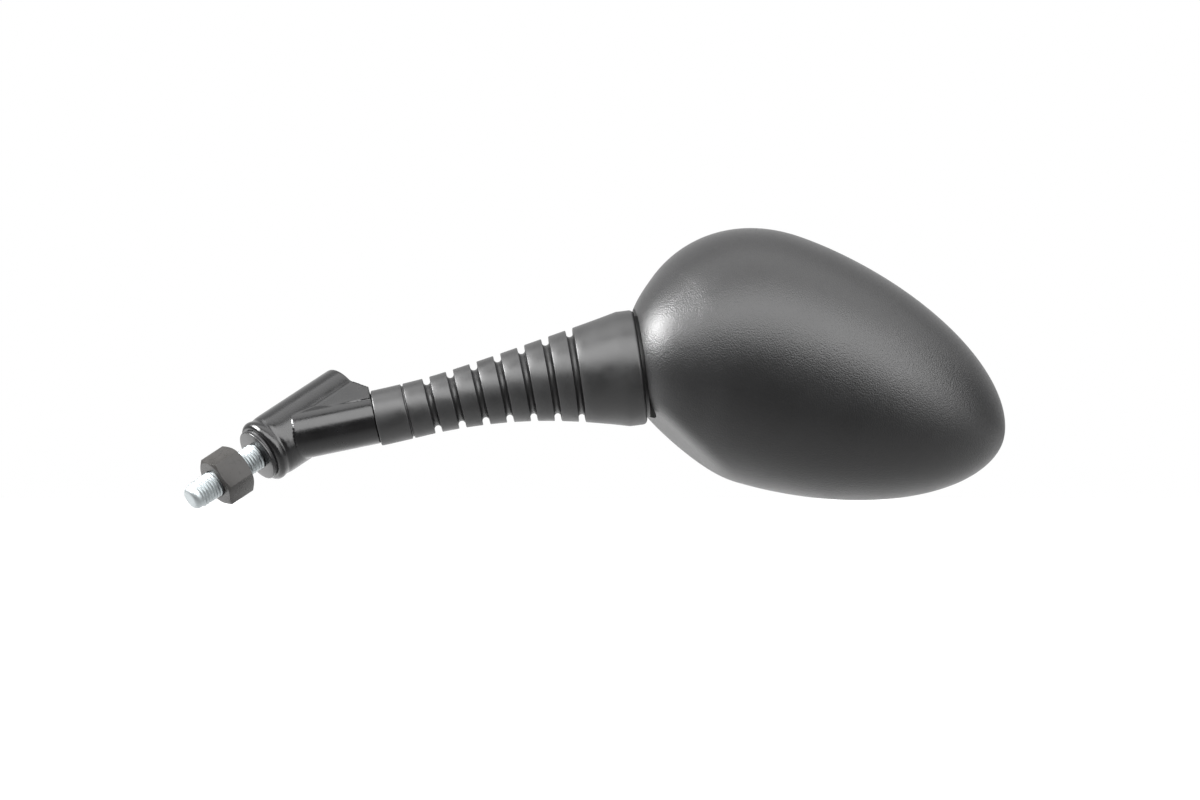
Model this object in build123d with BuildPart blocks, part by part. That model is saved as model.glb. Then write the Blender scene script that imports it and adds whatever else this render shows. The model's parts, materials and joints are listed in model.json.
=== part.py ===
from build123d import *
from math import cos, radians, sin, sqrt
import os

os.makedirs("parts", exist_ok=True)

# Driving dimensions, in millimetres and degrees.
# Frame: +X outboard along the arm, +Y the way the glass looks, +Z up.
# The origin is on the stud axis at the upper end of its free thread.

# Directions, as a rise above level and a sweep towards the glass side.
STUD_RISE, STUD_SWEEP = 34.75, 28.0
ARM_RISE, ARM_SWEEP = 11.75, 2.0
NECK_RISE, NECK_SWEEP = 7.5, 2.0

# Stud (M10) and lock nut
THREAD_R, FREE_THREAD = 5.0, 9.6
TIP_LENGTH, TIP_R = 1.7, 3.4
ENGAGED_R, ENGAGED_END = 4.45, 12.1
NUT_FLATS, NUT_HEIGHT, NUT_GAP = 17.0, 11.3, 0.4
NUT_BORE_R, NUT_MOUTH_R, NUT_CHAMFER = 4.5, 5.3, 1.4
FOOT_R, FOOT_HEIGHT, FOOT_Z = 9.8, 1.1, 19.9

# Swivel inside the casting
PIVOT_R, PIVOT_BORE_R, JOURNAL = 6.0, 6.05, 12.0
BOLT_R, BOLT_PROUD = 4.0, 1.6
FRICTION_R, FRICTION_HEIGHT = 9.5, 0.7
SPRING_R, SPRING_BORE_R, WASHER_BORE_R = 8.0, 8.3, 4.1
THRUST_HEIGHT, LEAF_STEP, LEAF = 1.2, 1.5, 0.9
SWIVEL_LEAVES = 4
PIVOT_NUT_FLATS, PIVOT_NUT_HEIGHT = 13.0, 6.5

# Arm casting and the plug over its bore
BARREL_R, BARREL_LENGTH, CROSSING = 11.4, 40.6, 11.4
BARREL_FOOT_ROUND, BARREL_TOP_ROUND = 1.3, 0.9
ARM_R, ARM_LENGTH = 9.3, 34.0
WEB_HALF = 9.2
SPIGOT_R, SPIGOT_LENGTH = 6.0, 24.0
PLUG_R, PLUG_LID, PLUG_LENGTH, PLUG_GAP = 9.6, 1.2, 4.6, 0.05

# Ball joint, measured along the neck from the ball's centre
BALL_OFFSET = 117.4
BALL_R, NECK_R = 6.5, 4.0
LINER_IN_R, LINER_OUT_R, SEAT_R = 6.8, 7.6, 7.9
LINER_FROM, LINER_TO = 56.0, 150.0
STEM_R, STEM_GRIP = 4.2, 22.0
CUP_R, CUP_BORE_R = 10.2, 8.6
CUP_TAPER, CUP_BACK, CUP_FLOOR, CUP_MOUTH = -22.0, -16.0, -13.5, 3.0
CUP_LEAVES, CUP_LEAF_R, CUP_LEAF_BORE_R = 3, 8.2, 3.0
SEAT_OUT_R, SEAT_BACK, SEAT_PART = 8.52, -9.0, 0.4
RETAINER_END, RETAINER_MOUTH_R, RETAINER_R = 6.0, 6.2, 8.55
FLANGE_R, FLANGE_FROM, FLANGE_TO = 8.0, 23.4, 26.0
HEAD_NUT_Z, HEAD_WASHER = 31.0, 1.2

# Boot, measured along its bowed centreline from the arm's end
BOOT_START, BOOT_END = 0.4, 99.35
BOOT_ROOT_R, BOOT_RIM_R, BOOT_RIM_ROUND = 10.3, 21.2, 1.3
BOOT_FLARE_FROM, BOOT_FLARE_TO, BOOT_FLARE_POWER = 17.0, 93.0, 1.7
BOOT_BOW = (0.0, 17.9, -33.2, 14.1)
BOOT_STATIONS = (BOOT_START, 9.0, 17.0, 28.0, 42.0, 56.0, 70.0, 82.0, 93.0, BOOT_END)
HOLLOW_ROOT_R, HOLLOW_RIM_R, HOLLOW_POWER = 7.2, 17.6, 1.5
HOLLOW_STATIONS = (SPIGOT_LENGTH, 36.0, 52.0, 68.0, 84.0, BOOT_END)
GROOVE_FIRST, GROOVE_PITCH, GROOVE_COUNT = 22.1, 9.03, 7
GROOVE_DEPTH, GROOVE_TOP, GROOVE_FLOOR = 2.4, 3.4, 1.7
SLIT_AT, SLIT_WIDTH, SLIT_DEPTH = 12.3, 0.8, 0.8

# Head: an egg about its long axis, cut off in front by the rim and open there
HEAD_CENTRE = (199.24, 30.2, 46.48)
HEAD_DROOP = 19.455
EGG_BIG, EGG_SMALL, EGG_HALF = 49.4, 95.95, 47.1
BIG_POWER, SMALL_POWER = 2.12, 1.854
EGG_STATIONS = (15, 30, 45, 60, 72, 81, 87)
RIM_FORWARD, WALL = 16.0, 2.5
FACET_SLOPE, FACET_TILT = 41.3, 7.5
FACET_X, FACET_Z = 159.35, 23.2
POCKET_R, DISH_WALL = 27.3, 2.0
FLARE = ((21.5, 12.0), (22.3, 18.0), (25.0, 29.0))
PAD_R, BOSS_R = 9.0, 12.0
STUD_HOLE_R = 4.1
GLASS_CURVE, GLASS_THICK, FOAM_THICK = 1200.0, 2.2, 1.0
GLASS_APEX, APEX_ALONG, CARRIER_BACK = 15.2, 23.0, 8.2
GLASS_INSET, FOAM_INSET, CARRIER_INSET, DISH_GAP = 3.7, 4.6, 4.2, 0.4
SEAL_GAP, SEAL_BACK, SEAL_FRONT = 0.05, 10.0, 15.0
POSTS = ((-12.0, 29.0), (-2.0, -31.0), (58.0, 2.0))
POST_R, POST_LENGTH, POST_HOLE_R, POST_HOLE = 4.0, 60.0, 1.45, 14.0
SCREW_R, SCREW_LENGTH, SCREW_HEAD_R, SCREW_HEAD, SCREW_SEAT = 1.4, 12.0, 2.8, 1.5, 1.0
SCREW_CLEARANCE = 0.2


def heading(rise, sweep):
    """Unit vector that climbs by rise and leans towards the glass side by sweep."""
    level = cos(radians(sweep))
    return Vector(level * cos(radians(rise)), sin(radians(sweep)), level * sin(radians(rise)))


def towards_viewer(axis):
    """The direction square to the axis that looks most nearly along -Y."""
    back = Vector(0, -1, 0)
    return (back - axis * back.dot(axis)).normalized()


def section_of(frame):
    """Plane whose x is the frame's radius and whose y runs along the frame's axis."""
    return Plane(frame.origin, x_dir=frame.x_dir, z_dir=-frame.y_dir)


def side_section_of(frame):
    """Like section_of, a quarter turn round, so that a cut's seam stays off the frame's own."""
    return Plane(frame.origin, x_dir=frame.y_dir, z_dir=frame.x_dir)


def leaf_section(index, outer, inner, start):
    """Half-section of one disc spring in a pile, as (radius, height) points."""
    base = start + index * LEAF_STEP
    first, second = (inner, outer) if index % 2 == 0 else (outer, inner)
    return (first, base), (second, base + LEAF_STEP - LEAF), (second, base + LEAF_STEP), (first, base + LEAF)


def boot_radius(along):
    """Outer radius of the boot at a distance along its centreline."""
    reach = max(0.0, (along - BOOT_FLARE_FROM) / (BOOT_FLARE_TO - BOOT_FLARE_FROM))
    return BOOT_ROOT_R + (BOOT_RIM_R - BOOT_ROOT_R) * min(reach, 1.0) ** BOOT_FLARE_POWER


def hollow_radius(along):
    """Inner radius of the boot's open skirt."""
    reach = (along - SPIGOT_LENGTH) / (BOOT_END - SPIGOT_LENGTH)
    return HOLLOW_ROOT_R + (HOLLOW_RIM_R - HOLLOW_ROOT_R) * reach ** HOLLOW_POWER


def boot_frame(along):
    """Plane square to the boot's bowed centreline."""
    part_way = along / BOOT_END
    lift = sum(c * part_way ** (k + 1) for k, c in enumerate(BOOT_BOW))
    slope = sum((k + 1) * c * part_way ** k for k, c in enumerate(BOOT_BOW)) / BOOT_END
    direction = (A + arm_up * slope).normalized()
    return Plane(arm_end + A * along + arm_up * lift, x_dir=towards_viewer(direction), z_dir=direction)


def egg_solid(inset):
    """The head's egg, two half turns about its long axis, drawn in from the outer face by inset."""
    big, small, half = EGG_BIG - inset, EGG_SMALL - inset, EGG_HALF - inset

    def at(reach, length, power):
        return (reach * length, half * (1 - abs(reach) ** power) ** (1 / power))

    big_end = [at(-sin(radians(angle)), big, BIG_POWER) for angle in reversed(EGG_STATIONS)]
    small_end = [at(sin(radians(angle)), small, SMALL_POWER) for angle in EGG_STATIONS]
    with BuildPart() as egg:
        with BuildSketch(head_section) as outline:
            with BuildLine():
                Spline((-big, 0), *big_end, *small_end, (small, 0), tangents=((0, 1), (0, -1)))
                Line((small, 0), (-big, 0))
            make_face()
        for turn in (head_axis, head_axis.reverse()):
            revolve(outline.sketch, axis=turn, revolution_arc=180)
        split(bisect_by=Plane(facet_point - facet_normal * inset, z_dir=facet_normal), keep=Keep.BOTTOM)
    return egg.part


# frames of the stud, the arm, the neck and the head
S = heading(STUD_RISE, STUD_SWEEP)
A = heading(ARM_RISE, ARM_SWEEP)
N = heading(NECK_RISE, NECK_SWEEP)
barrel_z = FOOT_Z + FOOT_HEIGHT + FRICTION_HEIGHT
barrel_top = barrel_z + BARREL_LENGTH
shoulder_z = barrel_z + JOURNAL
stud_frame = Plane((0, 0, 0), x_dir=(A - S * A.dot(S)).normalized(), z_dir=S)
stud_section = section_of(stud_frame)
stud_axis = Axis((0, 0, 0), S)
nut_frame = Plane((0, 0, 0), x_dir=towards_viewer(S), z_dir=S)
crossing = S * (barrel_z + CROSSING)
arm_frame = Plane(crossing, x_dir=towards_viewer(A), z_dir=A)
arm_up = towards_viewer(A).cross(A)
arm_end = crossing + A * ARM_LENGTH
ball = crossing + A * BALL_OFFSET
neck_frame = Plane(ball, x_dir=towards_viewer(N), z_dir=N)
neck_section = section_of(neck_frame)
neck_axis = Axis(ball, N)
head_long = heading(-HEAD_DROOP, 0)
head_up = heading(90 - HEAD_DROOP, 0)
head_section = Plane(HEAD_CENTRE, x_dir=head_long, z_dir=head_up)
head_axis = Axis(HEAD_CENTRE, head_long)
facet_point = Vector(FACET_X, HEAD_CENTRE[1], FACET_Z)
facet_normal = Vector(-sin(radians(FACET_SLOPE)) * cos(radians(FACET_TILT)), -sin(radians(FACET_TILT)),
                      -cos(radians(FACET_SLOPE)) * cos(radians(FACET_TILT)))


def back_plane(forward):
    """Plane parallel to the glass and forward of the egg's axis, looking at the back of the head."""
    return Plane(Vector(HEAD_CENTRE) + Vector(0, forward, 0), x_dir=head_long, z_dir=(0, -1, 0))


def on_sphere(radius, angle):
    """Half-section point on a ball, at an angle from the neck's outboard end."""
    return (radius * sin(radians(angle)), radius * cos(radians(angle)))


def finish(piece, name):
    """Label a finished piece and write it."""
    piece.part.label = name
    export_step(piece.part, f"parts/{name}.step")


# Stud: threaded end, foot flange and the pivot that the casting turns on
thrust_z = shoulder_z
swivel_spring_z = thrust_z + THRUST_HEIGHT
keeper_z = swivel_spring_z + SWIVEL_LEAVES * LEAF_STEP
pivot_nut_z = keeper_z + THRUST_HEIGHT
stud_top = pivot_nut_z + PIVOT_NUT_HEIGHT + BOLT_PROUD
with BuildPart() as stud:
    with BuildSketch(stud_section):
        with BuildLine():
            Polyline((0, -FREE_THREAD - TIP_LENGTH), (TIP_R, -FREE_THREAD - TIP_LENGTH),
                     (THREAD_R, -FREE_THREAD), (THREAD_R, 0), (ENGAGED_R, 0), (ENGAGED_R, ENGAGED_END),
                     (THREAD_R, ENGAGED_END), (THREAD_R, FOOT_Z), (FOOT_R, FOOT_Z),
                     (FOOT_R, FOOT_Z + FOOT_HEIGHT), (PIVOT_R, FOOT_Z + FOOT_HEIGHT),
                     (PIVOT_R, shoulder_z - FRICTION_HEIGHT), (BOLT_R, shoulder_z - FRICTION_HEIGHT),
                     (BOLT_R, stud_top), (0, stud_top), close=True)
        make_face()
    revolve(axis=stud_axis)
finish(stud, "stud")

# Lock nut: hexagon with its corners turned off, countersunk bore
nut_top = NUT_GAP + NUT_HEIGHT
nut_corner = NUT_FLATS / sqrt(3)
with BuildPart() as lock_nut:
    with BuildSketch(nut_frame.offset(NUT_GAP)):
        RegularPolygon(NUT_FLATS / 2, 6, major_radius=False, rotation=30)
    extrude(amount=NUT_HEIGHT)
    with BuildSketch(stud_section):
        with BuildLine():
            Polyline((NUT_BORE_R, NUT_GAP + NUT_MOUTH_R - NUT_BORE_R), (NUT_MOUTH_R, NUT_GAP),
                     (nut_corner - NUT_CHAMFER, NUT_GAP), (nut_corner, NUT_GAP + NUT_CHAMFER / 2),
                     (nut_corner, nut_top - NUT_CHAMFER / 2), (nut_corner - NUT_CHAMFER, nut_top),
                     (NUT_MOUTH_R, nut_top), (NUT_BORE_R, nut_top - NUT_MOUTH_R + NUT_BORE_R), close=True)
        make_face()
    revolve(axis=stud_axis, mode=Mode.INTERSECT)
finish(lock_nut, "lock_nut")

# Swivel pile: friction washer, thrust washer, disc springs, keeper washer and pivot nut
with BuildPart() as friction_washer:
    with BuildSketch(stud_frame.offset(barrel_z - FRICTION_HEIGHT)):
        Circle(FRICTION_R)
        Circle(PIVOT_BORE_R, mode=Mode.SUBTRACT)
    extrude(amount=FRICTION_HEIGHT)
finish(friction_washer, "friction_washer")

for name, base in (("thrust_washer", thrust_z), ("keeper_washer", keeper_z)):
    with BuildPart() as washer:
        with BuildSketch(stud_frame.offset(base)):
            Circle(SPRING_R)
            Circle(WASHER_BORE_R, mode=Mode.SUBTRACT)
        extrude(amount=THRUST_HEIGHT)
    finish(washer, name)

for i in range(SWIVEL_LEAVES):
    with BuildPart() as swivel_spring:
        with BuildSketch(stud_section):
            with BuildLine():
                Polyline(*leaf_section(i, SPRING_R, WASHER_BORE_R, swivel_spring_z), close=True)
            make_face()
        revolve(axis=stud_axis)
    finish(swivel_spring, f"swivel_spring_{i + 1}")

with BuildPart() as pivot_nut:
    with BuildSketch(nut_frame.offset(pivot_nut_z)):
        RegularPolygon(PIVOT_NUT_FLATS / 2, 6, major_radius=False)
        Circle(BOLT_R + PLUG_GAP, mode=Mode.SUBTRACT)
    extrude(amount=PIVOT_NUT_HEIGHT)
finish(pivot_nut, "pivot_nut")

# Arm casting: barrel on the stud, arm at an angle, and a web with flat cheeks between them
arm_lean = S.get_angle(A)
web_tip = (ARM_LENGTH * sin(radians(arm_lean)), barrel_z + CROSSING + ARM_LENGTH * cos(radians(arm_lean)))
with BuildPart() as arm_casting:
    with BuildSketch(stud_frame.offset(barrel_z)):
        Circle(BARREL_R)
    extrude(amount=BARREL_LENGTH)
    rims = arm_casting.edges().filter_by(GeomType.CIRCLE).sort_by(stud_axis)
    fillet(rims[0], BARREL_FOOT_ROUND)
    fillet(arm_casting.edges().filter_by(GeomType.CIRCLE).sort_by(stud_axis)[-1], BARREL_TOP_ROUND)
    with BuildSketch(arm_frame):
        Circle(ARM_R)
    extrude(amount=ARM_LENGTH)
    with BuildSketch(stud_section):
        with BuildLine():
            Polyline((0, barrel_z + CROSSING), web_tip, (0, barrel_top - BARREL_TOP_ROUND), close=True)
        make_face()
    extrude(amount=WEB_HALF, both=True)
    with BuildSketch(arm_frame.offset(ARM_LENGTH)):
        Circle(SPIGOT_R)
    extrude(amount=SPIGOT_LENGTH)
    with BuildSketch(stud_frame.offset(barrel_z)):
        Circle(PIVOT_BORE_R)
    extrude(amount=JOURNAL, mode=Mode.SUBTRACT)
    with BuildSketch(stud_frame.offset(shoulder_z)):
        Circle(SPRING_BORE_R)
    extrude(amount=BARREL_LENGTH - JOURNAL, mode=Mode.SUBTRACT)
    with BuildSketch(stud_frame.offset(barrel_top - PLUG_LID)):
        Circle(PLUG_R + PLUG_GAP)
    extrude(amount=PLUG_LID, mode=Mode.SUBTRACT)
    with BuildSketch(arm_frame.offset(ARM_LENGTH + SPIGOT_LENGTH - STEM_GRIP)):
        Circle(STEM_R)
    extrude(amount=STEM_GRIP, mode=Mode.SUBTRACT)
finish(arm_casting, "arm_casting")

with BuildPart() as bore_plug:
    with BuildSketch(stud_frame.offset(barrel_top - PLUG_LENGTH)):
        Circle(SPRING_BORE_R - PLUG_GAP)
    extrude(amount=PLUG_LENGTH)
    with BuildSketch(stud_frame.offset(barrel_top - PLUG_LID)):
        Circle(PLUG_R)
    extrude(amount=PLUG_LID)
finish(bore_plug, "bore_plug")

# Stem: a rod pressed into the arm, with the ball's cup at its outer end
with BuildPart() as stem:
    with BuildSketch(arm_frame.offset(ARM_LENGTH + SPIGOT_LENGTH - STEM_GRIP)):
        Circle(STEM_R)
    extrude(amount=BALL_OFFSET + CUP_BACK - ARM_LENGTH - SPIGOT_LENGTH + STEM_GRIP)
    with BuildSketch(neck_section):
        with BuildLine():
            Polyline((0, CUP_TAPER), (STEM_R, CUP_TAPER), (CUP_R, CUP_BACK), (CUP_R, CUP_MOUTH),
                     (CUP_BORE_R, CUP_MOUTH), (CUP_BORE_R, CUP_FLOOR), (0, CUP_FLOOR), close=True)
        make_face()
    revolve(axis=neck_axis)
finish(stem, "stem")

for i in range(CUP_LEAVES):
    with BuildPart() as cup_spring:
        with BuildSketch(neck_section):
            with BuildLine():
                Polyline(*leaf_section(i, CUP_LEAF_R, CUP_LEAF_BORE_R, CUP_FLOOR), close=True)
            make_face()
        revolve(axis=neck_axis)
    finish(cup_spring, f"cup_spring_{i + 1}")

seat_edge = sqrt(SEAT_R**2 - SEAT_PART**2)
with BuildPart() as seat_cup:
    with BuildSketch(neck_section):
        with BuildLine():
            Polyline((0, -SEAT_R), (0, SEAT_BACK), (SEAT_OUT_R, SEAT_BACK), (SEAT_OUT_R, -SEAT_PART),
                     (seat_edge, -SEAT_PART))
            ThreePointArc((seat_edge, -SEAT_PART), on_sphere(SEAT_R, 135), (0, -SEAT_R))
        make_face()
    revolve(axis=neck_axis)
finish(seat_cup, "seat_cup")

liner_middle = (LINER_FROM + LINER_TO) / 2
with BuildPart() as ball_liner:
    with BuildSketch(neck_section):
        with BuildLine():
            ThreePointArc(*(on_sphere(LINER_OUT_R, a) for a in (LINER_FROM, liner_middle, LINER_TO)))
            Line(on_sphere(LINER_OUT_R, LINER_TO), on_sphere(LINER_IN_R, LINER_TO))
            ThreePointArc(*(on_sphere(LINER_IN_R, a) for a in (LINER_TO, liner_middle, LINER_FROM)))
            Line(on_sphere(LINER_IN_R, LINER_FROM), on_sphere(LINER_OUT_R, LINER_FROM))
        make_face()
    revolve(axis=neck_axis)
finish(ball_liner, "ball_liner")

mouth_z = sqrt(SEAT_R**2 - RETAINER_MOUTH_R**2)
with BuildPart() as retainer:
    with BuildSketch(neck_section):
        with BuildLine():
            Polyline((RETAINER_MOUTH_R, mouth_z), (RETAINER_MOUTH_R, RETAINER_END), (CUP_R, RETAINER_END),
                     (CUP_R, CUP_MOUTH), (RETAINER_R, CUP_MOUTH), (RETAINER_R, SEAT_PART),
                     (seat_edge, SEAT_PART))
            ThreePointArc((seat_edge, SEAT_PART), on_sphere(SEAT_R, 70), (RETAINER_MOUTH_R, mouth_z))
        make_face()
    revolve(axis=neck_axis)
finish(retainer, "retainer")

# Boot: a flared rubber sleeve with grooves, gripping the spigot and hollow around the cup
with BuildPart() as boot:
    for along in BOOT_STATIONS:
        with BuildSketch(boot_frame(along)):
            Circle(boot_radius(along))
    loft()
    for along in HOLLOW_STATIONS:
        with BuildSketch(boot_frame(along)):
            Circle(hollow_radius(along))
    loft(mode=Mode.SUBTRACT)
    with BuildSketch(arm_frame.offset(ARM_LENGTH)):
        Circle(SPIGOT_R + PLUG_GAP)
    extrude(amount=SPIGOT_LENGTH + BOOT_START, mode=Mode.SUBTRACT)
    for i in range(GROOVE_COUNT):
        along = GROOVE_FIRST + i * GROOVE_PITCH
        frame = boot_frame(along)
        floor_r = boot_radius(along) - GROOVE_DEPTH
        with BuildSketch(side_section_of(frame)):
            with BuildLine():
                Polyline((floor_r, -GROOVE_FLOOR / 2), (floor_r + GROOVE_DEPTH, -GROOVE_TOP / 2),
                         (floor_r + 2 * GROOVE_DEPTH, -GROOVE_TOP / 2),
                         (floor_r + 2 * GROOVE_DEPTH, GROOVE_TOP / 2),
                         (floor_r + GROOVE_DEPTH, GROOVE_TOP / 2), (floor_r, GROOVE_FLOOR / 2), close=True)
            make_face()
        revolve(axis=Axis(frame.origin, frame.z_dir), mode=Mode.SUBTRACT)
    rim_frame = boot_frame(BOOT_END)
    with BuildSketch(side_section_of(rim_frame)):
        with BuildLine():
            Polyline((BOOT_RIM_R - BOOT_RIM_ROUND, 0), (BOOT_RIM_R - BOOT_RIM_ROUND / 3, -BOOT_RIM_ROUND / 3),
                     (BOOT_RIM_R, -BOOT_RIM_ROUND), (BOOT_RIM_R + BOOT_RIM_ROUND, -BOOT_RIM_ROUND),
                     (BOOT_RIM_R + BOOT_RIM_ROUND, BOOT_RIM_ROUND),
                     (BOOT_RIM_R - BOOT_RIM_ROUND, BOOT_RIM_ROUND), close=True)
        make_face()
    revolve(axis=Axis(rim_frame.origin, rim_frame.z_dir), mode=Mode.SUBTRACT)
    with BuildSketch(boot_frame(SLIT_AT - SLIT_WIDTH / 2)):
        Circle(boot_radius(SLIT_AT) + SLIT_DEPTH)
        Circle(boot_radius(SLIT_AT) - SLIT_DEPTH, mode=Mode.SUBTRACT)
    extrude(amount=SLIT_WIDTH, mode=Mode.SUBTRACT)
finish(boot, "boot")

# Ball stud: the head hangs on it, held by a washer and a nut inside the housing
head_washer_end = HEAD_NUT_Z + HEAD_WASHER
ball_stud_end = head_washer_end + PIVOT_NUT_HEIGHT + BOLT_PROUD
with BuildPart() as ball_stud:
    with BuildSketch(neck_section):
        with BuildLine():
            ball_neck_z = sqrt(BALL_R**2 - NECK_R**2)
            ThreePointArc((0, -BALL_R), (BALL_R, 0), (NECK_R, ball_neck_z))
            Polyline((NECK_R, ball_neck_z), (NECK_R, FLANGE_FROM), (FLANGE_R, FLANGE_FROM),
                     (FLANGE_R, FLANGE_TO), (BOLT_R, FLANGE_TO), (BOLT_R, ball_stud_end),
                     (0, ball_stud_end), (0, -BALL_R))
        make_face()
    revolve(axis=neck_axis)
finish(ball_stud, "ball_stud")

with BuildPart() as head_washer:
    with BuildSketch(neck_frame.offset(HEAD_NUT_Z)):
        Circle(SPRING_R)
        Circle(WASHER_BORE_R, mode=Mode.SUBTRACT)
    extrude(amount=HEAD_WASHER)
finish(head_washer, "head_washer")

with BuildPart() as head_nut:
    with BuildSketch(neck_frame.offset(head_washer_end)):
        RegularPolygon(PIVOT_NUT_FLATS / 2, 6, major_radius=False)
        Circle(BOLT_R + PLUG_GAP, mode=Mode.SUBTRACT)
    extrude(amount=PIVOT_NUT_HEIGHT)
finish(head_nut, "head_nut")

# Housing: the egg's shell with a dished mouth around the boot, and posts for the glass carrier
with BuildPart() as cavity:
    add(egg_solid(WALL))
    with Locations(ball):
        Sphere(POCKET_R + DISH_WALL, mode=Mode.SUBTRACT)
    with BuildSketch(neck_frame.offset(FLANGE_TO)):
        Circle(BOSS_R)
    extrude(amount=HEAD_NUT_Z - FLANGE_TO, mode=Mode.SUBTRACT)
    with BuildSketch(back_plane(CARRIER_BACK)):
        with Locations(*POSTS):
            Circle(POST_R)
    extrude(amount=POST_LENGTH, mode=Mode.SUBTRACT)

with BuildPart() as housing:
    add(egg_solid(0))
    with BuildSketch(neck_section):
        with BuildLine():
            Spline(*FLARE)
            Polyline(FLARE[-1], (0, FLARE[-1][1]), (0, FLARE[0][1]), FLARE[0])
        make_face()
    revolve(axis=neck_axis)
    split(bisect_by=Plane(facet_point, z_dir=facet_normal), keep=Keep.BOTTOM)
    with BuildSketch(back_plane(RIM_FORWARD)):
        Circle(2 * EGG_SMALL)
    extrude(amount=-EGG_HALF, mode=Mode.SUBTRACT)
    add(cavity.part, mode=Mode.SUBTRACT)
    with Locations(ball):
        Sphere(POCKET_R, mode=Mode.SUBTRACT)
    with BuildSketch(neck_frame.offset(FLANGE_TO)):
        Circle(PAD_R)
    extrude(amount=HEAD_NUT_Z - FLANGE_TO)
    with BuildSketch(neck_frame.offset(FLANGE_TO)):
        Circle(STUD_HOLE_R)
    extrude(amount=HEAD_NUT_Z - FLANGE_TO, mode=Mode.SUBTRACT)
    with BuildSketch(back_plane(CARRIER_BACK)):
        with Locations(*POSTS):
            Circle(POST_HOLE_R)
    extrude(amount=POST_HOLE, mode=Mode.SUBTRACT)
finish(housing, "housing")

# Glass, its foam pad and its carrier: bowed alike, cut to the egg's outline
glass_middle = Vector(HEAD_CENTRE) + head_long * APEX_ALONG + Vector(0, GLASS_APEX - GLASS_CURVE, 0)
foam_curve = GLASS_CURVE - GLASS_THICK
carrier_curve = foam_curve - FOAM_THICK
dish_clear = POCKET_R + DISH_WALL + DISH_GAP

for name, inset, front, back in (("glass", GLASS_INSET, GLASS_CURVE, foam_curve),
                                 ("foam_pad", FOAM_INSET, foam_curve, carrier_curve)):
    with BuildPart() as pane:
        add(egg_solid(inset))
        split(bisect_by=back_plane(0), keep=Keep.BOTTOM)
        with Locations(glass_middle):
            Sphere(front, mode=Mode.INTERSECT)
            Sphere(back, mode=Mode.SUBTRACT)
        with Locations(ball):
            Sphere(dish_clear, mode=Mode.SUBTRACT)
    finish(pane, name)

with BuildPart() as carrier:
    add(egg_solid(CARRIER_INSET))
    split(bisect_by=back_plane(CARRIER_BACK), keep=Keep.BOTTOM)
    with Locations(glass_middle):
        Sphere(carrier_curve, mode=Mode.INTERSECT)
    with Locations(ball):
        Sphere(dish_clear, mode=Mode.SUBTRACT)
    with BuildSketch(back_plane(CARRIER_BACK)):
        with Locations(*POSTS):
            Circle(SCREW_R + SCREW_CLEARANCE)
    extrude(amount=-GLASS_APEX, mode=Mode.SUBTRACT)
    with BuildSketch(back_plane(CARRIER_BACK + SCREW_SEAT)):
        with Locations(*POSTS):
            Circle(SCREW_HEAD_R + SCREW_CLEARANCE)
    extrude(amount=-GLASS_APEX, mode=Mode.SUBTRACT)
finish(carrier, "carrier")

for i, post in enumerate(POSTS):
    with BuildPart() as carrier_screw:
        with BuildSketch(back_plane(CARRIER_BACK + SCREW_SEAT)):
            with Locations(post):
                Circle(SCREW_R)
        extrude(amount=SCREW_LENGTH)
        with BuildSketch(back_plane(CARRIER_BACK + SCREW_SEAT)):
            with Locations(post):
                Circle(SCREW_HEAD_R)
        extrude(amount=-SCREW_HEAD)
    finish(carrier_screw, f"carrier_screw_{i + 1}")

with BuildPart() as glass_seal:
    add(egg_solid(WALL + SEAL_GAP))
    split(bisect_by=back_plane(SEAL_BACK), keep=Keep.BOTTOM)
    split(bisect_by=back_plane(SEAL_FRONT), keep=Keep.TOP)
    add(egg_solid(GLASS_INSET - SEAL_GAP), mode=Mode.SUBTRACT)
    with Locations(ball):
        Sphere(dish_clear, mode=Mode.SUBTRACT)
finish(glass_seal, "glass_seal")
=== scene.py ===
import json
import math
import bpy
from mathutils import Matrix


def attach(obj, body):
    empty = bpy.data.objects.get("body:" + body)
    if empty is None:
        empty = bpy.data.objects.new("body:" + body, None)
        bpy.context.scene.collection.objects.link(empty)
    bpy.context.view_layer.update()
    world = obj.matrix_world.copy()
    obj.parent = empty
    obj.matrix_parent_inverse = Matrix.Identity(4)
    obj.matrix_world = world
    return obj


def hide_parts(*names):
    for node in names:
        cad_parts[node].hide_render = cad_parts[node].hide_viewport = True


bl_info = {
    "name": "Motorcycle mirror",
    "version": (1, 0, 0),
    "blender": (4, 5, 0),
    "location": "View3D > Sidebar > Mirror",
    "description": "Dresses a motorcycle mirror: housing, boot, casting, stud, finishes and stage",
    "category": "Object",
}

import bmesh
import bpy
from bpy.props import FloatProperty, FloatVectorProperty, IntProperty, PointerProperty
from mathutils import Matrix, Vector

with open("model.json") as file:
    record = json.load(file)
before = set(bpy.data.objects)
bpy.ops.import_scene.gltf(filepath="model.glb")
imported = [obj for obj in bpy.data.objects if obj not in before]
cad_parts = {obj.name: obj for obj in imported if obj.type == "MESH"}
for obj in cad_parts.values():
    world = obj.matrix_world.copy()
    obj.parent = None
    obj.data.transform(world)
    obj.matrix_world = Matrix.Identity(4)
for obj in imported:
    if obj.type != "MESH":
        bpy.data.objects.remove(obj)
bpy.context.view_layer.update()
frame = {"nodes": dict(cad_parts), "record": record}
JOINTS = {joint["name"]: joint for joint in frame["record"]["behaviour"]["joints"]}
MM = 0.001
NEAR = MM / 1000  # points closer than this are one point

# Directions and centres that the joints give: the stud's axis, the ball and the neck's axis.
STUD_AXIS = Vector(JOINTS["arm_swivel"]["axis"]).normalized()
NECK_AXIS = Vector(JOINTS["head_spin"]["axis"]).normalized()
BALL = Vector(JOINTS["head_spin"]["pos_m"])
BACK = Vector((0, -1, 0))

MADE = {}  # finishes by name, filled on first use


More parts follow.
